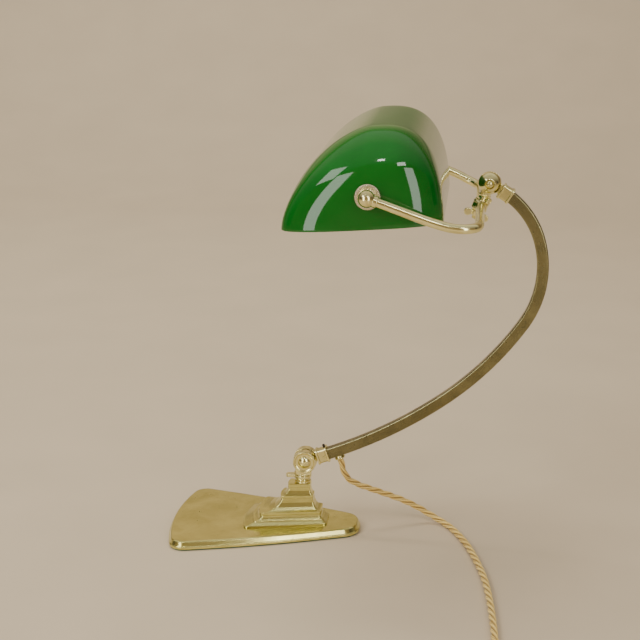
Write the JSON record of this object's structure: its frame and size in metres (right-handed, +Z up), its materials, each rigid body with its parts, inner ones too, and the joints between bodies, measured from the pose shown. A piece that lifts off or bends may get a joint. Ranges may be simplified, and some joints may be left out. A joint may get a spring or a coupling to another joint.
{
  "type": "banker desk lamp",
  "caption": "Adjustable brass desk lamp: weighted base, friction-jointed curved arm and a green cased-glass shade that tilts in a fork.",
  "frame": {"origin": "on the surface the felt stands on, at the middle of the base plate's length and width", "axes": "+Z up, +X from the broad front of the base towards its narrow rear, +Y along the shade, away from the side the two slotted bolts show on"},
  "size_m": [0.3485, 0.4774, 0.3956],
  "materials": {
    "brass": "polished",
    "aged_brass": "brushed and darkened",
    "iron": "rough cast",
    "steel": "machined",
    "felt": "felt",
    "fibre": "pressed fibre",
    "green_glass": "polished cased glass",
    "opal_glass": "polished opal glass",
    "clear_glass": "clear",
    "porcelain": "glazed",
    "silk_cord": "twisted silk braid",
    "bakelite": "moulded, polished",
    "pale_washer": "satin, pale",
    "tape": "woven tape"
  },
  "bodies": {
    "base": {"base_plate": "brass", "base_ballast": "iron", "base_felt": "felt", "base_screws": "steel", "pedestal": "brass", "pedestal_stud": "steel", "pedestal_nut": "steel", "pedestal_washer": "steel", "pedestal_collar": "brass", "neck_post": "brass", "lower_cheek": "brass", "lower_bolt": "brass", "lower_bolt_nut": "brass", "lower_friction_disc": "fibre", "cord_drop": "silk_cord", "cord_run": "silk_cord", "cord_tail": "silk_cord", "cord_coil": "silk_cord", "coil_tie": "tape", "plug_body": "bakelite", "plug_pins": "brass"},
    "lever": {"clamp_lever": "brass"},
    "arm": {"arm_tube": "aged_brass", "arm_lower_cheek": "brass", "arm_lower_collar": "brass", "collar_screw": "steel", "cord_bushing": "brass", "arm_wire": "silk_cord", "arm_upper_collar": "brass", "arm_upper_cheek": "brass"},
    "head": {"head_cheek": "brass", "head_bolt": "brass", "head_bolt_nut": "brass", "head_friction_disc": "fibre", "head_stud": "brass"},
    "thumb_screw": {"neck_screw": "brass"},
    "wings": {"wing_nut": "brass"},
    "fork": {"fork_hub": "brass", "fork_near_arm": "brass", "fork_far_arm": "brass", "fork_elbows": "brass", "pivot_nipples": "brass", "near_nipple_nut": "brass", "holder_cap": "brass", "holder_shell": "brass", "holder_insert": "porcelain", "holder_thread": "brass", "holder_contact": "brass", "bulb_cap": "steel", "bulb_glass": "clear_glass", "bulb_stem": "clear_glass", "bulb_filament": "steel"},
    "key": {"switch_key": "bakelite"},
    "shade": {"shade_glass": "green_glass", "shade_lining": "opal_glass", "shade_bushes": "pale_washer", "shade_gaskets": "fibre", "shade_ring_nuts": "brass"}
  },
  "joints": [
    {"name": "arm_tilt", "type": "hinge", "parent": "base", "child": "arm", "pos_m": [0.0383, 0, 0.0686], "axis": [0, 1, 0], "range_deg": [-25, 20], "deforming": ["cord_drop"]},
    {"name": "head_tilt", "type": "hinge", "parent": "arm", "child": "head", "pos_m": [0.20394, 0, 0.33644], "axis": [0, 1, 0], "range_deg": [-20, 30]},
    {"name": "fork_swivel", "type": "hinge", "parent": "head", "child": "fork", "pos_m": [0.19587, 0, 0.31598], "axis": [0.3665, 0, 0.9304], "range_deg": [-25, 25]},
    {"name": "shade_tilt", "type": "hinge", "parent": "fork", "child": "shade", "pos_m": [0.1043, 0, 0.3419], "axis": [0, 1, 0], "range_deg": [-35, 45]},
    {"name": "clamp_lever_turn", "type": "hinge", "parent": "base", "child": "lever", "pos_m": [0.036, 0, 0.053], "axis": [0, 0, 1], "range_deg": [-60, 60]},
    {"name": "neck_screw_turn", "type": "hinge", "parent": "head", "child": "thumb_screw", "pos_m": [0.19859, 0, 0.32286], "axis": [0.5981, -0.766, -0.2356], "continuous": true},
    {"name": "wing_nut_turn", "type": "hinge", "parent": "head", "child": "wings", "pos_m": [0.19408, 0, 0.31142], "axis": [0.3665, 0, 0.9304], "continuous": true},
    {"name": "switch_turn", "type": "hinge", "parent": "fork", "child": "key", "pos_m": [0.1043, 0.0839, 0.3229], "axis": [0, 0, 1], "range_deg": [0, 90]}
  ]
}
